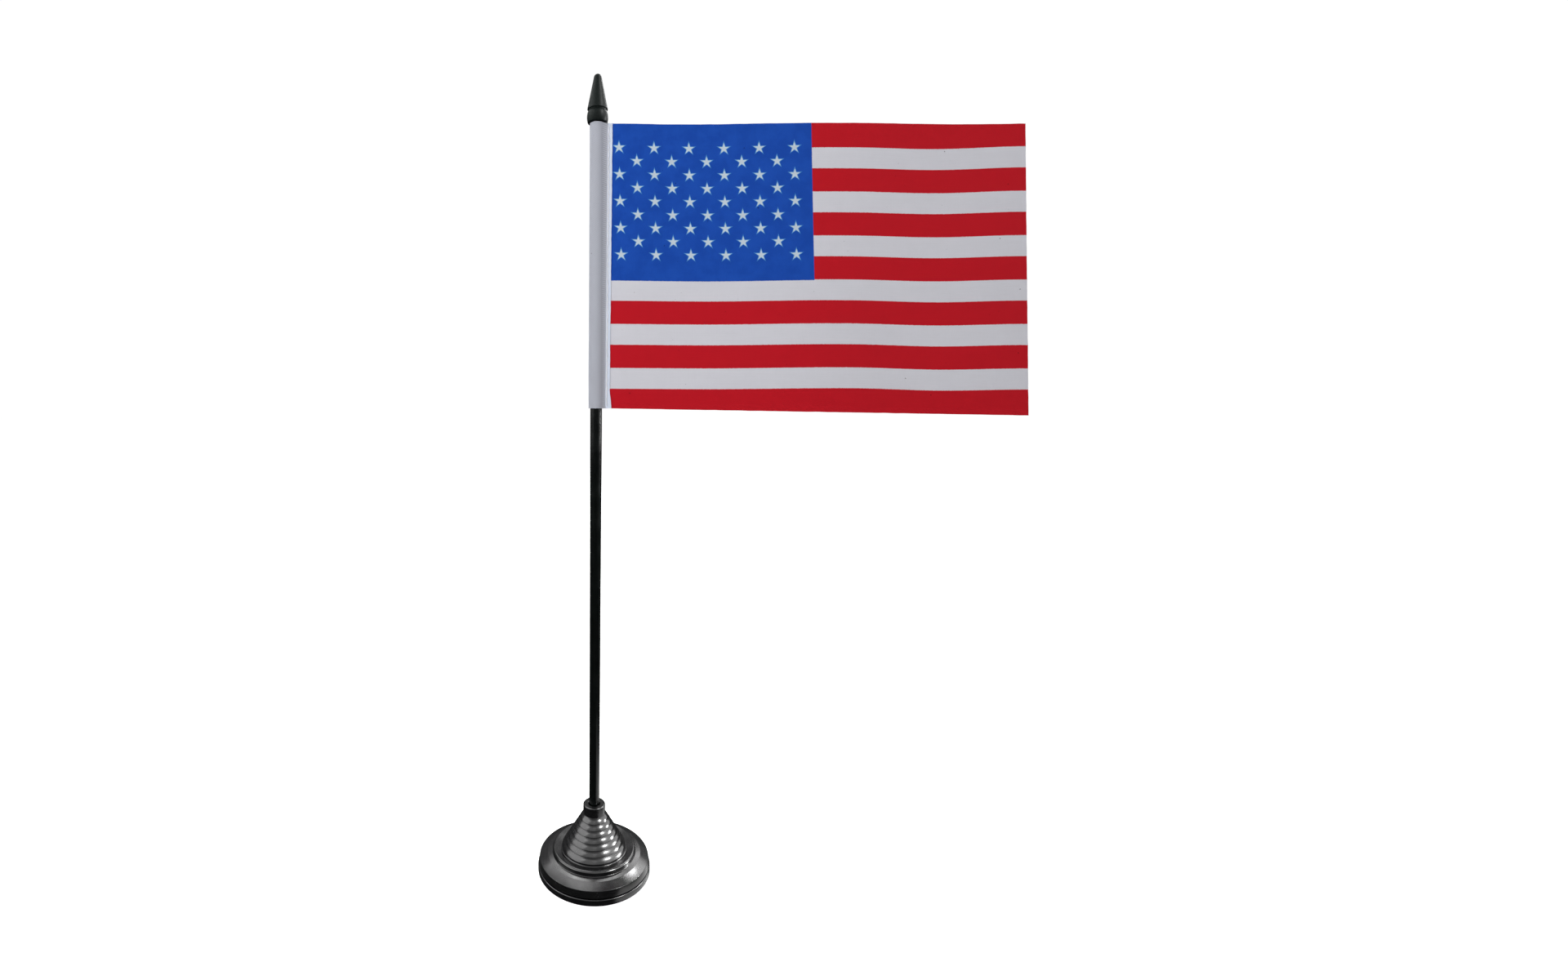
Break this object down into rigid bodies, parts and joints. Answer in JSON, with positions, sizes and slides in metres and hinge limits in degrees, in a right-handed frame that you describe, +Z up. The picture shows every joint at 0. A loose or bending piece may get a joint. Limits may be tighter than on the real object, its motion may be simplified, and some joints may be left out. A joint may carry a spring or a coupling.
{
  "type": "desk flag stand",
  "caption": "Small printed cloth flag with a sewn sleeve on a slim plastic staff with a spear tip, standing in a round stepped weighted foot.",
  "frame": {"origin": "centre of the foot's flat underside, on the staff's axis", "axes": "+Z up along the staff, +X from the staff towards the flag's fly edge, -Y out of the flag's printed front"},
  "size_m": [0.1721, 0.0392, 0.2795],
  "materials": {
    "foot_plastic": "glossy black moulded plastic",
    "plate_plastic": "glossy black moulded plastic, moulded underside",
    "weight_steel": "plain stamped steel, hidden inside the foot",
    "pole_plastic": "semi-gloss black moulded plastic",
    "finial_plastic": "satin black moulded plastic",
    "printed_cloth": "fine knitted polyester, printed in red, white and blue, white at the sleeve",
    "seam_thread": "white polyester sewing thread"
  },
  "bodies": {
    "foot": {"base_shell": "foot_plastic", "base_plate": "plate_plastic", "base_weight": "weight_steel"},
    "staff": {"pole": "pole_plastic"},
    "tip": {"finial": "finial_plastic"},
    "flag": {"flag_cloth": "printed_cloth", "needle_thread": "seam_thread", "bobbin_thread": "seam_thread"}
  },
  "joints": [
    {"name": "staff_lift", "type": "slide", "parent": "foot", "child": "staff", "axis": [0, 0, 1], "range_m": [0, 0.03]},
    {"name": "tip_pull", "type": "slide", "parent": "staff", "child": "tip", "axis": [0, 0, 1], "range_m": [0, 0.012]},
    {"name": "flag_swivel", "type": "hinge", "parent": "staff", "child": "flag", "pos_m": [0, 0, 0.2117], "axis": [0, 0, 1], "continuous": true}
  ]
}
